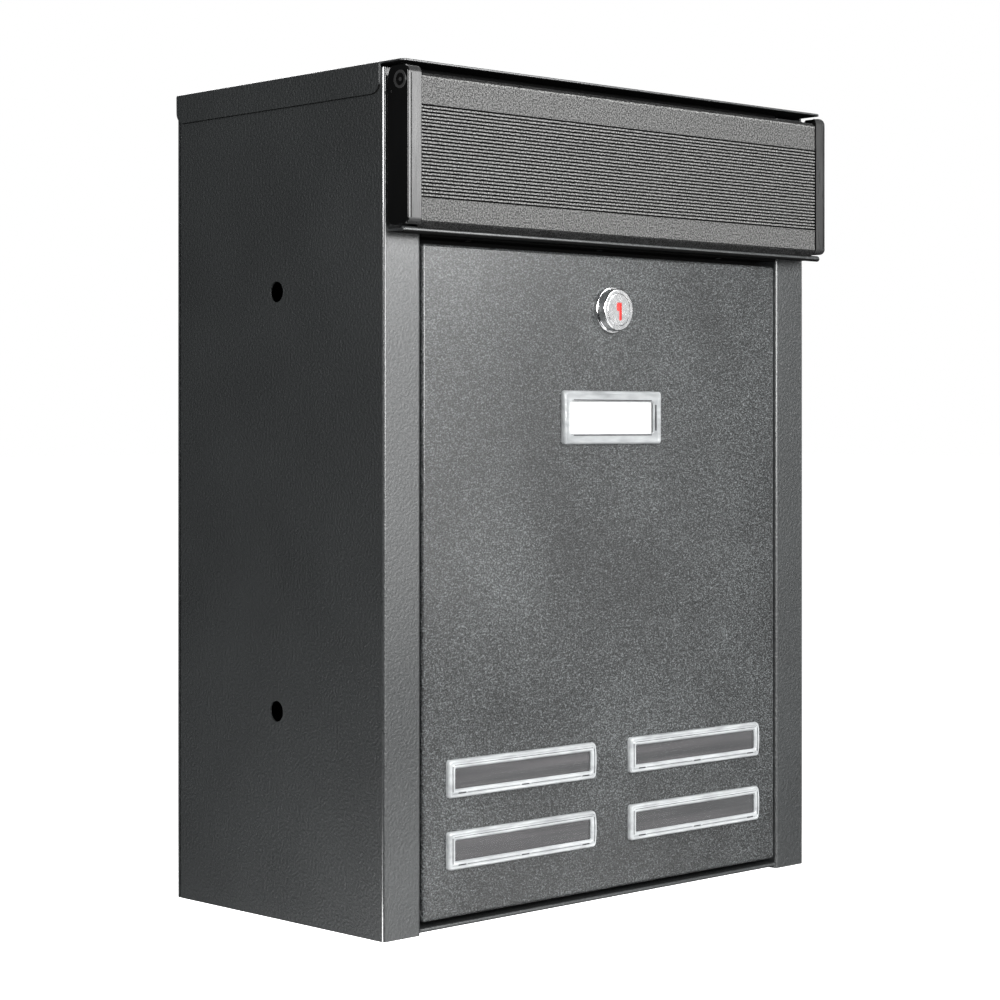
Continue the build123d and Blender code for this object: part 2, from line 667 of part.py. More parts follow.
def name_card(window, x, z, window_x=0.0, slot_gap=0.0):
    """Card in its cover's pocket, shortened by slot_gap at its right end."""
    fit = CARD_MARGIN - 2 * CARD_SIDE_GAP
    card = Rectangle(window[0] + fit - slot_gap, window[1] + fit)
    low = DEPTH + CARD_DEPTH
    return Pos(x, 0, z) * slab(Pos(window_x - slot_gap / 2, 0) * card, FRONT_PLANE, low, low + CARD)


def name_cover_main():
    cover = name_cover(MAIN_PLATE, MAIN_WINDOW, 0, MAIN_PLATE_Z, MAIN_WINDOW_X)
    low = MAIN_WINDOW_X + MAIN_WINDOW[0] / 2 + CARD_SLOT_GAP
    tall = (MAIN_PLATE_Z - CARD_SLOT / 2, MAIN_PLATE_Z + CARD_SLOT / 2)
    return cover - block((low, low + CARD_SLOT_WIDTH), (FRONT - 2 * PLATE, FRONT + 1), tall)


def small_name_plates():
    """Covers and blank inserts, two columns by two rows."""
    plates = {}
    for row, z in SMALL_PLATE_ROWS.items():
        for column, sign in (("left", -1), ("right", 1)):
            x = sign * SMALL_PLATE_X
            cover = name_cover(SMALL_PLATE, SMALL_WINDOW, x, z, bow=BOW)
            plates[f"name_cover_{row}_{column}"] = cover - clip_marks(x, z)
            plates[f"name_insert_{row}_{column}"] = name_card(SMALL_WINDOW, x, z)
    return plates


def clip_marks(x, z):
    """Shallow marks along the lower edge of the window, where the insert clips in."""
    top = z - SMALL_WINDOW[1] / 2 - CLIP_DROP
    end = SMALL_WINDOW[0] / 2 - CLIP_INSET
    deep = (FRONT - PLATE - 1, FRONT - PLATE + CLIP_DEPTH)
    marks = []
    for at in (x - end, x, x + end):
        marks.append(block((at - CLIP[0] / 2, at + CLIP[0] / 2), deep, (top - CLIP[1], top)))
    return marks


def write(name, solids):
    """Writes one node, lowered so that the origin is at the centre of the back."""
    pieces = solids if isinstance(solids, list) else [solids]
    found = [solid for piece in pieces for solid in piece.solids()]
    node = found[0] if len(found) == 1 else Compound(children=found)
    export_step(Pos(0, 0, -HEIGHT / 2) * node, f"parts/{name}.step")


def main():
    os.makedirs("parts", exist_ok=True)
    left = left_side()
    bracket = flap_bracket_right()
    cap = flap_cap_right()
    nodes = {
        "left_side": left,
        "right_side": mirror_x(left),
        "back_panel": back_panel(),
        "back_rivets": back_rivets(),
        "floor_panel": floor_panel(),
        "lid": lid(),
        "mouth_ledge": mouth_ledge(),
        "door_rail": door_rail(),
        "ledge_rivets": ledge_rivets(),
        "mouth_header": mouth_header(),
        "flap_bracket_left": mirror_x(bracket),
        "flap_bracket_right": bracket,
        "bracket_rivets": bracket_rivets(),
        "door_hinge_pins": door_hinge_pins(),
        "flap_plate": flap_plate(),
        "flap_cap_left": mirror_x(cap),
        "flap_cap_right": cap,
        "flap_pivot_pins": flap_pivot_pins(),
        "door_panel": door_panel(),
        "lock_housing": lock_housing(),
        "lock_washer": lock_washer(),
        "lock_nut": lock_nut(),
        "lock_plug": lock_plug(),
        "keyway_shutter": keyway_shutter(),
        "lock_cam": lock_cam(),
        "cam_screw": cam_screw(),
        "name_cover_main": name_cover_main(),
        "name_card_main": name_card(MAIN_WINDOW, 0, MAIN_PLATE_Z, MAIN_WINDOW_X, CARD_SIDE_GAP),
    }
    nodes.update(small_name_plates())
    for name, solids in nodes.items():
        write(name, solids)


main()
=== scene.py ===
import json
from math import cos, radians, sin

import bmesh
import bpy
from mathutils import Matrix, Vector


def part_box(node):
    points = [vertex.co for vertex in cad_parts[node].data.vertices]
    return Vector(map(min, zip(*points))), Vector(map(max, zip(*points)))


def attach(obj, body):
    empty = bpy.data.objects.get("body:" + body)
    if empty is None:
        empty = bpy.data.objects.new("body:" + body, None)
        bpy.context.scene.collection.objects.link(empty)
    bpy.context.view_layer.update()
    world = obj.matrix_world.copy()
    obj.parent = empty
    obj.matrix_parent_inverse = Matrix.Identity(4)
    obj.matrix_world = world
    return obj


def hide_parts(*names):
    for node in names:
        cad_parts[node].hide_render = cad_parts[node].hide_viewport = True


# Looks of the wall mounted mailbox. Metres, the CAD's frame: +Z up, the front faces -Y, the wall is
# at Y = 0 and the origin is the centre of the back.

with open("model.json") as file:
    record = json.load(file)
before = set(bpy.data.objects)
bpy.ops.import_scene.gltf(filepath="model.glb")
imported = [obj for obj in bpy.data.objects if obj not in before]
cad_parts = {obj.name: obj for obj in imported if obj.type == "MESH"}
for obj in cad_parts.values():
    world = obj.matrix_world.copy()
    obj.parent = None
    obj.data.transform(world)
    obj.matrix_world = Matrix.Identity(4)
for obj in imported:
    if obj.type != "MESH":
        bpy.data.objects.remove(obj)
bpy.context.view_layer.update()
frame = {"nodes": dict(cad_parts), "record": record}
nodes = frame["nodes"]

MM = 0.001

# ---------------------------------------------------------------- camera and stage

# The camera is level and looks into the case's left front corner, turned CAMERA_YAW degrees.
CAMERA_AT = (-0.9097, -1.0166, 0.0353)
CAMERA_YAW = 44.06
LENS = 90.82
SENSOR_WIDTH = 36.0
SHIFT_X = -0.001
SHIFT_Y = -0.0745
NEAREST = 0.01
FARTHEST = 200.0
FLOOR_Z = -0.42
FLOOR_SIZE = 60.0
ROOM_STRENGTH = 0.03
# What the lights aim at: the middle of the case, and the foot of its left side and of its front.
LIT_POINT = (0.0, -0.12, 0.0)
LEFT_FOOT = (-0.15, -0.08, -0.21)
FRONT_FOOT = (-0.02, -0.155, -0.21)

# ---------------------------------------------------------------- sizes taken from the CAD model

DOOR_FACE_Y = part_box("door_panel")[0][1]

# The band of grooves on the flap. A polygon deeper than GROOVE_EDGE lies in a groove, and one whose
# normal points further back than TURNED_AWAY belongs to the plate's rear.
GROOVES_Z = (138.5 * MM, 181.5 * MM)
GROOVE_DEPTH = 1.0 * MM
GROOVE_EDGE = 0.05 * MM
ROUNDING = 0.01 * MM
TURNED_AWAY = 0.5

# The clear covers. Windows are width and height in mm.
MAIN_WINDOW = (59.0, 15.6)
MAIN_WINDOW_X = -0.7 * MM
SMALL_WINDOW = (91.0, 9.6)
SMALL_BOW = 1.0 * MM
COVER_HEIGHT = 2.5 * MM
COVER_CORNER = 1.6 * MM
WINDOW_CORNER = 0.8 * MM
COVER_POCKET = 0.8 * MM
COVER_POCKET_MARGIN = 0.5 * MM
CORNER_STEPS = 6
BOW_STEPS = 8
# A rim's section from its outer edge (0) to its window (1), with the height above the door in mm.
FLAT_RIM = (
    (0.00, 1.20), (0.03, 1.75), (0.09, 2.20), (0.18, 2.45), (0.28, 2.50), (0.34, 2.30), (0.42, 2.20),
    (0.80, 2.20), (0.86, 2.30), (0.91, 2.30), (0.94, 2.00), (1.00, 1.70),
)
RIDGED_RIM = (
    (0.00, 1.20), (0.04, 1.80), (0.12, 2.30), (0.22, 2.50), (0.32, 2.40), (0.38, 2.05), (0.44, 2.05),
    (0.50, 2.35), (0.62, 2.50), (0.78, 2.50), (0.88, 2.30), (0.94, 1.90), (1.00, 1.60),
)
# Dark marks in a rim, painted shadow lines, in mm from the cover's centre: x, z, width and height.
MAIN_MARKS = ((30.4, 0.0, 1.0, 13.0), (-0.7, 8.6, 56.0, 0.5), (-0.7, -8.6, 56.0, 0.5))
SMALL_MARKS = (
    (-41.5, -6.6, 5.0, 0.7), (0.0, -6.6, 5.0, 0.7), (41.5, -6.6, 5.0, 0.7),
    (-21.0, -6.6, 34.0, 0.22), (21.0, -6.6, 34.0, 0.22), (0.0, 6.5, 93.0, 0.3),
    (-47.4, 0.0, 0.35, 12.0), (47.4, 0.0, 0.35, 12.0),
)
MARK_DEPTH = 0.45 * MM
MARK_CHAMFER = 0.08 * MM
SHARP_ANGLE = 35.0

# How far a face's normal leans along an axis before it counts as facing that way, and where the outer
# folds of the side sheets begin.
FACING = 0.3
FLAP_EDGE = 0.05
FLAP_TOP_EDGE = 0.5
BEND_SLOPE = 0.1
BEND_SIDEWAYS = 0.7
OUTER_BEND_X = 145.0 * MM
PIN_FACE_DEPTH = 0.5 * MM

# Material indexes of the flap's plate and of a cover.
FLAP_FACE, FLAP_SHADED_GROOVE, FLAP_HIGHLIGHT, FLAP_SHADED_FOLD = range(4)
COVER_RIM, COVER_PANE, COVER_SHADOW_MARK = range(3)

# ---------------------------------------------------------------- node helpers


class Shader:
    """A new material with one Principled shader, and short calls that add its nodes."""

    def __init__(self, name, **sockets):
        self.material = bpy.data.materials.new(name)
        self.material.use_nodes = True
        self.tree = self.material.node_tree
        self.tree.nodes.clear()
        self.output = self.tree.nodes.new("ShaderNodeOutputMaterial")
        self.shader = self.tree.nodes.new("ShaderNodeBsdfPrincipled")
        self.link(self.shader.outputs["BSDF"], self.output.inputs["Surface"])
        for socket, value in sockets.items():
            self.shader.inputs[socket.replace("_", " ")].default_value = value
        self.place = self.add("ShaderNodeTexCoord").outputs["Object"]

    def add(self, kind, **settings):
        """A new node of that kind."""
        node = self.tree.nodes.new(kind)
        for key, value in settings.items():
            setattr(node, key, value)
        return node

    def link(self, source, target):
        self.tree.links.new(source, target)

    def into(self, socket, source):
        """Feeds one of the shader's own sockets."""
        self.link(source, self.shader.inputs[socket])

    def scaled(self, scale):
        """The object's coordinates stretched by axis, so that a noise on them runs in streaks."""
        node = self.add("ShaderNodeMapping")
        self.link(self.place, node.inputs["Vector"])
        node.inputs["Scale"].default_value = scale
        return node.outputs["Vector"]

    def noise(self, scale, detail=2.0, roughness=0.5, place=None):
        """Noise with scale in cells to the metre, on the object's coordinates or on place."""
        node = self.add("ShaderNodeTexNoise")
        self.link(place or self.place, node.inputs["Vector"])
        node.inputs["Scale"].default_value = scale
        node.inputs["Detail"].default_value = detail
        node.inputs["Roughness"].default_value = roughness
        return node.outputs["Fac"]

    def ramp(self, factor, *stops):
        """Grey or colour stops as (position, colour) along factor."""
        node = self.add("ShaderNodeValToRGB")
        self.link(factor, node.inputs["Fac"])
        elements = node.color_ramp.elements
        while len(elements) < len(stops):
            elements.new(0.5)
        for element, (position, colour) in zip(elements, stops):
            element.position = position
            element.color = (*colour, 1.0) if hasattr(colour, "__len__") else (colour,) * 3 + (1.0,)
        return node.outputs["Color"]

    def between(self, factor, low, high):
        """From low to high over the middle of a noise's range."""
        return self.ramp(factor, (0.3, low), (0.7, high))

    def mixed(self, first, second, share):
        """Two heights or noises added, the second scaled by its share."""
        return self.math("ADD", first, self.math("MULTIPLY", second, share))

    def math(self, operation, a, b):
        """One sum on two values, each of them a number or another node's output."""
        node = self.add("ShaderNodeMath", operation=operation)
        for socket, value in zip(node.inputs, (a, b)):
            if hasattr(value, "default_value"):
                self.link(value, socket)
            else:
                socket.default_value = value
        return node.outputs["Value"]

    def bump(self, height, distance):
        """A normal that follows the height, distance being the relief's depth in metres."""
        node = self.add("ShaderNodeBump")
        self.link(height, node.inputs["Height"])
        node.inputs["Distance"].default_value = distance
        node.inputs["Strength"].default_value = 1.0
        return node.outputs["Normal"]


def spread(colour, amount):
    """The same colour, lighter or darker by a share."""
    return tuple(channel * (1 + amount) for channel in colour)


# ---------------------------------------------------------------- materials

PAINT = (0.0295, 0.0317, 0.0322)
COAT = 0.9
COAT_ROUGHNESS = 0.22


def powder_coat():
    """Anthracite powder coat: an orange peel of about a millimetre with finer grain on it."""
    s = Shader("powder_coat_anthracite", Coat_Weight=COAT, Coat_Roughness=COAT_ROUGHNESS)
    peel = s.noise(760.0, 1.0, 0.4)
    fine = s.noise(1500.0, 3.0, 0.6)
    height = s.mixed(peel, fine, 0.45)
    patches = s.noise(14.0, 2.0)
    mottle = s.mixed(s.math("MULTIPLY", fine, 0.75), patches, 0.25)
    tones = (0.3, spread(PAINT, -0.45)), (0.5, PAINT), (0.7, spread(PAINT, 0.55))
    s.into("Base Color", s.ramp(mottle, *tones))
    s.into("Roughness", s.between(s.noise(700.0, 2.0), 0.40, 0.52))
    s.into("Normal", s.bump(height, 0.00045))
    return s.material


def bend_coat():
    """The same coat where it runs thin and smooth round the folds of the sheet."""
    glaze = {"Coat_Weight": 1.0, "Coat_Roughness": 0.12, "Coat_IOR": 2.6}
    s = Shader("powder_coat_bend", Specular_IOR_Level=1.0, **glaze)
    grain = s.noise(900.0, 2.0, 0.5)
    s.into("Base Color", s.between(grain, spread(PAINT, -0.2), spread(PAINT, 0.2)))
    s.into("Roughness", s.between(grain, 0.26, 0.36))
    s.into("Normal", s.bump(grain, 0.00006))
    return s.material


def sand_coat(name, base, coat=0.12, shine=0.5):
    """A coat with a fine sandy grain, for the flap's face, the painted highlight on its ridges and the
    painted shade in its grooves and folds.
    """
    s = Shader(name, Coat_Weight=coat, Coat_Roughness=0.3, Specular_IOR_Level=shine)
    grain = s.noise(1250.0, 2.0, 0.6)
    clumps = s.noise(700.0, 2.0)
    height = s.mixed(grain, clumps, 0.6)
    s.into("Base Color", s.ramp(grain, (0.40, spread(base, -0.85)), (0.62, spread(base, 1.7))))
    s.into("Roughness", s.between(clumps, 0.42, 0.52))
    s.into("Normal", s.bump(height, 0.0011))
    return s.material


def painted_shade_coat():
    """Painted shade: a matt black that stands in for the shade on the undersides and inside the mouth.
    """
    s = Shader("painted_shade_coat_black", Specular_IOR_Level=0.1)
    dust = s.noise(500.0, 3.0)
    s.into("Base Color", s.between(dust, 0.002, 0.005))
    s.into("Roughness", s.between(dust, 0.75, 0.9))
    s.into("Normal", s.bump(dust, 0.0001))
    return s.material


def black_plastic(name, low, high, tone=1.0):
    """Moulded black: faint flow waves and hair scratches, between two roughnesses. A tone above 1
    greys the black as a painted sheen.
    """
    s = Shader(name, Specular_IOR_Level=0.55)
    waves = s.noise(60.0, 2.0, place=s.scaled((1.0, 1.0, 0.35)))
    scratches = s.noise(900.0, 3.0, 0.7, place=s.scaled((1.0, 1.0, 0.05)))
    s.into("Base Color", s.between(waves, 0.003 * tone, 0.005 * tone))
    s.into("Roughness", s.ramp(scratches, (0.35, low), (0.7, high)))
    s.into("Normal", s.bump(scratches, 0.000012))
    return s.material


def chrome():
    """Bright chrome with light wear."""
    s = Shader("chrome", Metallic=1.0)
    wear = s.noise(420.0, 4.0, 0.6)
    s.into("Base Color", s.between(wear, (0.72, 0.73, 0.74), (0.88, 0.88, 0.88)))
    s.into("Roughness", s.ramp(wear, (0.3, 0.08), (0.75, 0.18)))
    s.into("Normal", s.bump(s.noise(260.0, 2.0), 0.00001))
    return s.material


def satin_steel(name, grey, low=0.28, high=0.42, brushed=(1.0, 1.0, 0.06)):
    """Zinc plated or brushed steel."""
    s = Shader(name, Metallic=1.0)
    grain = s.noise(1600.0, 3.0, 0.65, place=s.scaled(brushed))
    clouds = s.noise(120.0, 3.0)
    s.into("Base Color", s.between(clouds, grey * 0.85, grey * 1.12))
    s.into("Roughness", s.between(grain, low, high))
    s.into("Normal", s.bump(grain, 0.00002))
    return s.material


def shutter_red():
    """Red plastic of the keyway's shutter."""
    s = Shader("shutter_red", Specular_IOR_Level=0.5)
    blotch = s.noise(900.0, 2.0)
    s.into("Base Color", s.between(blotch, (0.50, 0.012, 0.010), (0.75, 0.030, 0.020)))
    s.into("Roughness", s.between(blotch, 0.30, 0.45))
    return s.material


def card_white():
    """Uncoated card with a fibre grain."""
    s = Shader("card_white")
    fibre = s.noise(1400.0, 4.0, 0.7, place=s.scaled((0.35, 1.0, 1.0)))
    s.into("Base Color", s.between(fibre, (0.84, 0.85, 0.85), (0.93, 0.93, 0.92)))
    s.into("Roughness", s.between(fibre, 0.65, 0.8))
    s.into("Normal", s.bump(fibre, 0.00003))
    return s.material


def insert_dark():
    """Dark card with faint lighter level bands across it, a painted reflection."""
    s = Shader("insert_dark")
    # Painted reflection: faint lighter level bands across the dark card.
    bands = s.noise(260.0, 2.0, 0.6, place=s.scaled((0.02, 1.0, 1.0)))
    fibre = s.noise(1500.0, 3.0)
    sheet = s.mixed(s.math("MULTIPLY", bands, 0.8), fibre, 0.2)
    s.into("Base Color", s.ramp(sheet, (0.40, (0.003, 0.003, 0.003)), (0.62, (0.034, 0.029, 0.031))))
    s.into("Roughness", s.between(fibre, 0.5, 0.65))
    s.into("Normal", s.bump(sheet, 0.00003))
    return s.material


def painted_light_rim(name="clear_plastic_rim", gain=1.0):
    """Thick moulded edge of a clear cover. Its grey-white colour is painted light, standing in for the
    light gathered in the clear plastic.
    """
    s = Shader(name, Alpha=0.85, IOR=1.49, Specular_IOR_Level=0.6)
    dark = tuple(gain * tone for tone in (0.26, 0.27, 0.275))
    light = tuple(gain * tone for tone in (0.40, 0.415, 0.42))
    swirl = s.noise(260.0, 3.0, place=s.scaled((0.3, 1.0, 1.0)))
    s.into("Base Color", s.between(swirl, dark, light))
    s.into("Roughness", s.between(s.noise(500.0, 2.0), 0.05, 0.16))
    s.into("Normal", s.bump(swirl, 0.0005))
    return s.material


def clear_window():
    """Thin clear window of a cover."""
    s = Shader("clear_plastic_window", Alpha=0.07, IOR=1.49, Specular_IOR_Level=0.4)
    swirl = s.noise(170.0, 3.0, place=s.scaled((0.12, 1.0, 1.0)))
    s.into("Base Color", s.between(swirl, (0.30, 0.31, 0.32), (0.42, 0.43, 0.44)))
    s.into("Roughness", s.between(swirl, 0.04, 0.10))
    s.into("Normal", s.bump(swirl, 0.0006))
    return s.material


def painted_shadow_line():
    """Painted shadow: a dark line moulded into a cover's rim, standing in for its shade."""
    s = Shader("cover_painted_shadow_line", Specular_IOR_Level=0.3)
    smudge = s.noise(600.0, 3.0)
    s.into("Base Color", s.between(smudge, (0.010, 0.010, 0.011), (0.045, 0.045, 0.048)))
    s.into("Roughness", s.between(smudge, 0.4, 0.6))
    return s.material


def door_coat():
    """The door's coat: the same colour with a coarser, harder peel and light specks."""
    s = Shader("powder_coat_door", Coat_Weight=COAT, Coat_Roughness=COAT_ROUGHNESS)
    grain = s.noise(1350.0, 2.0, 0.6, place=s.scaled((0.75, 1.0, 1.0)))
    patches = s.noise(14.0, 2.0)
    mottle = s.mixed(s.math("MULTIPLY", grain, 0.85), patches, 0.15)
    dull = (0.40, spread(PAINT, -0.85)), (0.50, PAINT)
    specks = (0.58, spread(PAINT, 1.4)), (0.66, spread(PAINT, 4.2))
    s.into("Base Color", s.ramp(mottle, *dull, *specks))
    s.into("Roughness", s.between(s.noise(700.0, 2.0), 0.38, 0.54))
    s.into("Normal", s.bump(grain, 0.0014))
    return s.material


MATERIALS = {
    "case_paint": powder_coat(),
    "flap_metal": sand_coat("sand_coat_grey", (0.066, 0.066, 0.0645)),
    # The bracket's steel is a near-black grey: painted shade where it sits behind the cap's cheek.
    "bracket_steel": satin_steel("bracket_steel", 0.045),
    "rivet_steel": satin_steel("rivet_steel", 0.36),
    # The caps' fronts get seven times the black's tone: a painted sheen that greys them, while their
    # sides keep the true black.
    "cap_black": black_plastic("satin_plastic_black_painted_sheen", 0.26, 0.36, 7.0),
    "lock_chrome": chrome(),
    "zinc_steel": satin_steel("zinc_steel", 0.5, 0.22, 0.36, (1.0, 1.0, 1.0)),
    "shutter_red": shutter_red(),
    "clear_cover": painted_light_rim(),
    "card_white": card_white(),
    "insert_dark": insert_dark(),
}
WINDOW = clear_window()
# The small covers' rims get a brighter copy of the painted light.
BRIGHTER_PAINTED_LIGHT_RIM = painted_light_rim("clear_plastic_rim_bright", 1.35)
BEND_COAT = bend_coat()
CHEEK = black_plastic("gloss_plastic_black", 0.08, 0.16)
MARK = painted_shadow_line()
DOOR_COAT = door_coat()
# Painted highlight: a lighter grey for the ridges between the grooves and for the edge along the top
# of the flap's face.
RIDGE = sand_coat("sand_coat_painted_highlight", (0.12, 0.12, 0.117))
# Painted shade: near black for the bottoms and walls of the flap's grooves.
GROOVE = sand_coat("sand_coat_painted_groove_shade", (0.002, 0.002, 0.002), coat=0.0, shine=0.05)
# Painted shade: near black for the flap's folded top and bottom strips, standing in for the shade on
# them.
SHADED = sand_coat("sand_coat_shaded", (0.010, 0.010, 0.010), coat=0.0, shine=0.2)
# Painted shade for the undersides and the parts inside the mouth.
PAINTED_SHADE_COAT = painted_shade_coat()
# Painted sheen: a grey copy of the black plastic for the pins' rims.
PIN_PAINTED_SHEEN = black_plastic("satin_plastic_grey_painted_sheen", 0.3, 0.42, 8.0)


def paint_nodes():
    """Gives every CAD node the material of its slot in the record."""
    for part in frame["record"]["subparts"]:
        mesh = nodes[part["node"]].data
        mesh.materials.clear()
        mesh.materials.append(MATERIALS[part["material_slot"]])
        for polygon in mesh.polygons:
            polygon.material_index = 0


def paint_grooves():
    """Paints shade into the bottoms and walls of the flap's grooves, and a painted highlight onto the
    ridges between them.
    """
    mesh = nodes["flap_plate"].data
    mesh.materials.append(GROOVE)
    mesh.materials.append(RIDGE)
    face_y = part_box("flap_plate")[0][1]
    low, high = GROOVES_Z
    for polygon in mesh.polygons:
        depth = polygon.center.y - face_y
        outside = depth < GROOVE_DEPTH + ROUNDING and polygon.normal.y < TURNED_AWAY
        if low < polygon.center.z < high and outside:
            polygon.material_index = FLAP_SHADED_GROOVE if depth > GROOVE_EDGE else FLAP_HIGHLIGHT


def paint_flap_folds():
    """Paints shade on the flap's folded top and bottom strips, and a painted highlight on the edge
    along its face's top.
    """
    mesh = nodes["flap_plate"].data
    mesh.materials.append(SHADED)
    middle = (GROOVES_Z[0] + GROOVES_Z[1]) / 2
    for polygon in mesh.polygons:
        if polygon.material_index == FLAP_FACE and abs(polygon.normal.z) > FLAP_EDGE:
            edge = polygon.center.z > middle and polygon.normal.z < FLAP_TOP_EDGE
            polygon.material_index = FLAP_HIGHLIGHT if edge else FLAP_SHADED_FOLD


def paint_shade_on_undersides():
    """Painted shade: gives the undersides of the lid and the lip, and the whole of the door's rail and
    the mouth's header, the matt black that stands in for the shade there.
    """
    for name in ("lid", "mouth_ledge", "door_rail", "mouth_header"):
        inside = name in ("door_rail", "mouth_header")
        mesh = nodes[name].data
        mesh.materials.append(PAINTED_SHADE_COAT)
        for polygon in mesh.polygons:
            polygon.material_index = int(inside or polygon.normal.z < -FACING)


def paint_pins():
    """Grey rims, a painted sheen on the black plastic, and gloss black dishes on the flap's two pivot
    pins.
    """
    mesh = nodes["flap_pivot_pins"].data
    end_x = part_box("flap_pivot_pins")[1][0]
    mesh.materials[0] = CHEEK
    mesh.materials.append(PIN_PAINTED_SHEEN)
    for polygon in mesh.polygons:
        polygon.material_index = int(end_x - abs(polygon.center.x) < PIN_FACE_DEPTH)


def paint_cheeks():
    """Gives the caps' flat sides a harder gloss and the true black, darker than the painted sheen on
    their fronts.
    """
    for name in ("flap_cap_left", "flap_cap_right"):
        mesh = nodes[name].data
        mesh.materials.append(CHEEK)
        for polygon in mesh.polygons:
            polygon.material_index = int(abs(polygon.normal.x) > FACING)


def paint_bends():
    """Gives the rounded upright folds of the side sheets the smoother coat, on their outer side."""
    for name in ("left_side", "right_side"):
        mesh = nodes[name].data
        mesh.materials.append(BEND_COAT)
        for polygon in mesh.polygons:
            normal = polygon.normal
            outer = abs(polygon.center.x) > OUTER_BEND_X
            bent = abs(normal.x) > BEND_SIDEWAYS and -normal.y > BEND_SLOPE
            polygon.material_index = int(outer and bent)


def paint_door():
    """Gives the door its own coarser coat."""
    nodes["door_panel"].data.materials[0] = DOOR_COAT


paint_nodes()
paint_bends()
paint_grooves()
paint_flap_folds()
paint_shade_on_undersides()
paint_cheeks()
paint_pins()
paint_door()

# ---------------------------------------------------------------- clear covers


def cover_outline(half, radius, bow):
    """Points of a rounded rectangle in the door's plane, its right end bowed outwards."""
    points = []
    for quarter, (side_x, side_z) in enumerate(((1, 1), (-1, 1), (-1, -1), (1, -1))):
        for step in range(CORNER_STEPS + 1):
            angle = radians(90 * (quarter + step / CORNER_STEPS))
            x = side_x * (half.x - radius) + radius * cos(angle)
            z = side_z * (half.y - radius) + radius * sin(angle)
            points.append((x, z))
    straight = half.y - radius
    for step in range(1, BOW_STEPS):
        points.append((half.x, straight * (2 * step / BOW_STEPS - 1)))
    return [(x - bow * max(0, x / half.x) * (z / half.y) ** 2, z) for x, z in points]


def add_rim(shape, centre, size, window, profile, window_x, bow):
    """The cover's closed skin, from the pocket behind it round its edge to the window in front."""
    pocket = 1 - COVER_POCKET_MARGIN / ((size.y - window.y) / 2)
    levels = [(pocket, COVER_POCKET), (pocket, 0.0), (0.0, 0.0)]
    levels += [(share, height * MM) for share, height in profile]
    loops = []
    for share, height in levels:
        half = (size - share * (size - window)) / 2
        radius = COVER_CORNER + share * (WINDOW_CORNER - COVER_CORNER)
        outline = cover_outline(half, radius, bow * (1 - share))
        shift = centre.x + share * window_x
        y = DOOR_FACE_Y - height
        loops.append([shape.verts.new((x + shift, y, z + centre.y)) for x, z in outline])
    count = len(loops[0])
    for inner, outer in zip(loops, loops[1:]):
        for index in range(count):
            after = (index + 1) % count
            shape.faces.new((inner[index], inner[after], outer[after], outer[index]))
    for loop in (loops[0], loops[-1]):
        shape.faces.new(loop).material_index = COVER_PANE


def cover(node, window, profile, rim, window_x=0.0, bow=0.0, marks=()):
    """Re-makes a clear cover with a moulded rim around a sunk window and a pocket behind it."""
    low, high = (Vector((corner[0], corner[2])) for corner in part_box(node))
    centre = (low + high) / 2
    shape = bmesh.new()
    add_rim(shape, centre, high - low, Vector(window) * MM, profile, window_x, bow)
    for x, z, width, height in marks:
        add_mark(shape, centre + Vector((x, z)) * MM, width * MM, height * MM)
    bmesh.ops.recalc_face_normals(shape, faces=shape.faces)
    mesh = bpy.data.meshes.new(node + "_moulded")
    shape.to_mesh(mesh)
    shape.free()
    mesh.set_sharp_from_angle(angle=radians(SHARP_ANGLE))
    for material in (rim, WINDOW, MARK):
        mesh.materials.append(material)
    piece = bpy.data.objects.new(node + "_moulded", mesh)
    bpy.context.scene.collection.objects.link(piece)
    for polygon in mesh.polygons:
        polygon.use_smooth = polygon.material_index == COVER_RIM
    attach(piece, "door")
    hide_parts(node)


def add_mark(shape, centre, width, height):
    """A thin dark plate let into a cover's rim, with its edges chamfered, as a painted shadow line."""
    made = bmesh.ops.create_cube(shape, size=1.0)["verts"]
    for vert in made:
        vert.co.x = vert.co.x * width + centre.x
        vert.co.z = vert.co.z * height + centre.y
        vert.co.y = DOOR_FACE_Y - COVER_HEIGHT + MARK_DEPTH / 2 + vert.co.y * MARK_DEPTH
    faces = {face for vert in made for face in vert.link_faces}
    for face in faces:
        face.material_index = COVER_SHADOW_MARK
    edges = list({edge for face in faces for edge in face.edges})
    bmesh.ops.bevel(shape, geom=edges, offset=MARK_CHAMFER, segments=1, affect="EDGES", material=-1)


PLAIN_PAINTED_LIGHT_RIM = MATERIALS["clear_cover"]
cover("name_cover_main", MAIN_WINDOW, FLAT_RIM, PLAIN_PAINTED_LIGHT_RIM, MAIN_WINDOW_X, marks=MAIN_MARKS)
for row in ("upper", "lower"):
    for column in ("left", "right"):
        name = f"name_cover_{row}_{column}"
        cover(name, SMALL_WINDOW, RIDGED_RIM, BRIGHTER_PAINTED_LIGHT_RIM, bow=SMALL_BOW, marks=SMALL_MARKS)

# ---------------------------------------------------------------- stage, lights and camera


def pale_floor():
    """Evenly white floor. It shines a little for the camera only, so that it lights nothing."""
    half = FLOOR_SIZE / 2
    corners = [(x * half, y * half, FLOOR_Z) for x, y in ((-1, -1), (1, -1), (1, 1), (-1, 1))]
    mesh = bpy.data.meshes.new("floor")
    mesh.from_pydata(corners, [], [(0, 1, 2, 3)])
    floor = bpy.data.objects.new("floor", mesh)
    bpy.context.scene.collection.objects.link(floor)
    s = Shader("floor_pale", Roughness=0.9, Emission_Strength=1.0)
    tone = s.between(s.noise(3.0, 3.0), 0.985, 1.0)
    s.into("Base Color", tone)
    s.into("Emission Color", tone)
    mesh.materials.append(s.material)
    floor.visible_diffuse = False
    floor.visible_glossy = False


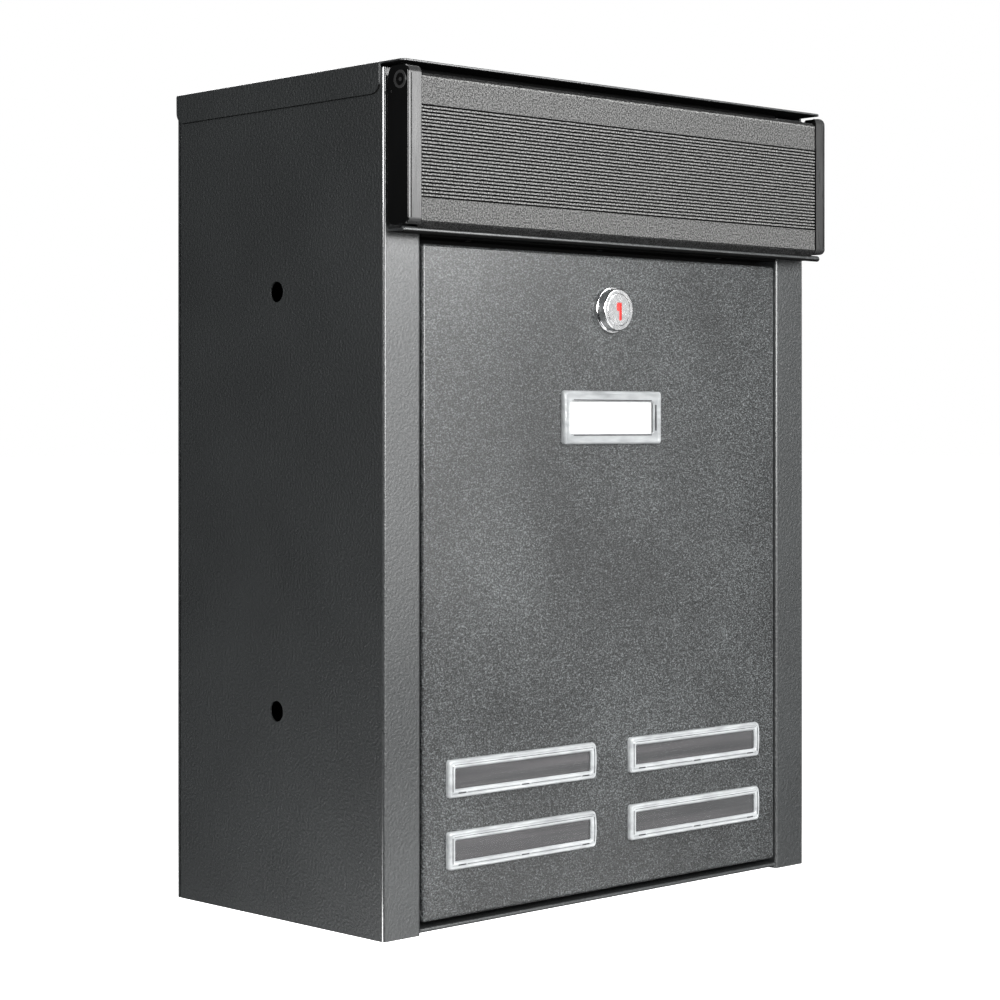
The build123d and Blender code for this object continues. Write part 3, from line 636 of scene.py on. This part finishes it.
def softbox(name, turn, rise, distance, size, power, aim=LIT_POINT):
    """A soft light on aim. turn goes from the front to the right and rise upwards, in degrees."""
    turn, rise = radians(turn), radians(rise)
    direction = Vector((sin(turn) * cos(rise), -cos(turn) * cos(rise), sin(rise)))
    light = bpy.data.lights.new(name, "AREA")
    light.shape = "RECTANGLE"
    light.size, light.size_y = size
    light.energy = power
    lamp = bpy.data.objects.new(name, light)
    lamp.location = Vector(aim) + direction * distance
    lamp.rotation_euler = (-direction).to_track_quat("-Z", "Y").to_euler()
    lamp.visible_camera = False
    bpy.context.scene.collection.objects.link(lamp)


def surroundings():
    """White behind the object, and a dim grey room for everything else."""
    world = bpy.data.worlds.new("studio")
    world.use_nodes = True
    tree = world.node_tree
    tree.nodes.clear()
    output = tree.nodes.new("ShaderNodeOutputWorld")
    seen = tree.nodes.new("ShaderNodeBackground")
    seen.inputs["Color"].default_value = (1.0, 1.0, 1.0, 1.0)
    room = tree.nodes.new("ShaderNodeBackground")
    room.inputs["Color"].default_value = (0.9, 0.95, 1.0, 1.0)
    room.inputs["Strength"].default_value = ROOM_STRENGTH
    path = tree.nodes.new("ShaderNodeLightPath")
    mix = tree.nodes.new("ShaderNodeMixShader")
    tree.links.new(path.outputs["Is Camera Ray"], mix.inputs[0])
    tree.links.new(room.outputs[0], mix.inputs[1])
    tree.links.new(seen.outputs[0], mix.inputs[2])
    tree.links.new(mix.outputs[0], output.inputs["Surface"])
    bpy.context.scene.world = world


def camera():
    """Level camera at the left of the front, its frame shifted to take in the whole case."""
    data = bpy.data.cameras.new("camera")
    data.lens = LENS
    data.sensor_width = SENSOR_WIDTH
    data.shift_x = SHIFT_X
    data.shift_y = SHIFT_Y
    data.clip_start = NEAREST
    data.clip_end = FARTHEST
    eye = bpy.data.objects.new("camera", data)
    eye.location = CAMERA_AT
    eye.rotation_euler = (radians(90), 0.0, radians(-CAMERA_YAW))
    bpy.context.scene.collection.objects.link(eye)
    bpy.context.scene.camera = eye


# Each light's name, turn, rise, distance, (width, height), watts and, for two, what it aims at.
LIGHTS = (
    ("key", 33, 18, 1.20, (0.40, 0.40), 1.9),
    ("key_level", 30, 2, 1.20, (0.40, 0.40), 1.6),
    ("key_near", 30, 25, 0.80, (0.30, 0.30), 2.0),
    ("front_low", 35, -25, 1.00, (0.50, 0.30), 0.6),
    ("card", 46, 4, 1.30, (0.20, 0.70), 0.3),
    ("front", -10, 14, 1.25, (0.60, 0.60), 26.0),
    ("left", -78, 20, 1.25, (0.40, 0.42), 7.6),
    ("left_low", -105, -25, 1.00, (0.60, 0.30), 0.45),
    ("bounce", -90, -35, 0.22, (0.20, 0.25), 0.75, LEFT_FOOT),
    ("bounce_front", -5, -32, 0.45, (0.50, 0.20), 1.2, FRONT_FOOT),
    ("top", 150, 70, 1.10, (0.60, 0.60), 8.0),
    ("back", 150, 25, 1.40, (0.80, 0.80), 9.0),
    ("right", 100, 20, 1.40, (0.60, 0.60), 5.0),
)

pale_floor()
for light in LIGHTS:
    softbox(*light)
surroundings()
camera()
bpy.context.scene.view_settings.view_transform = "Standard"
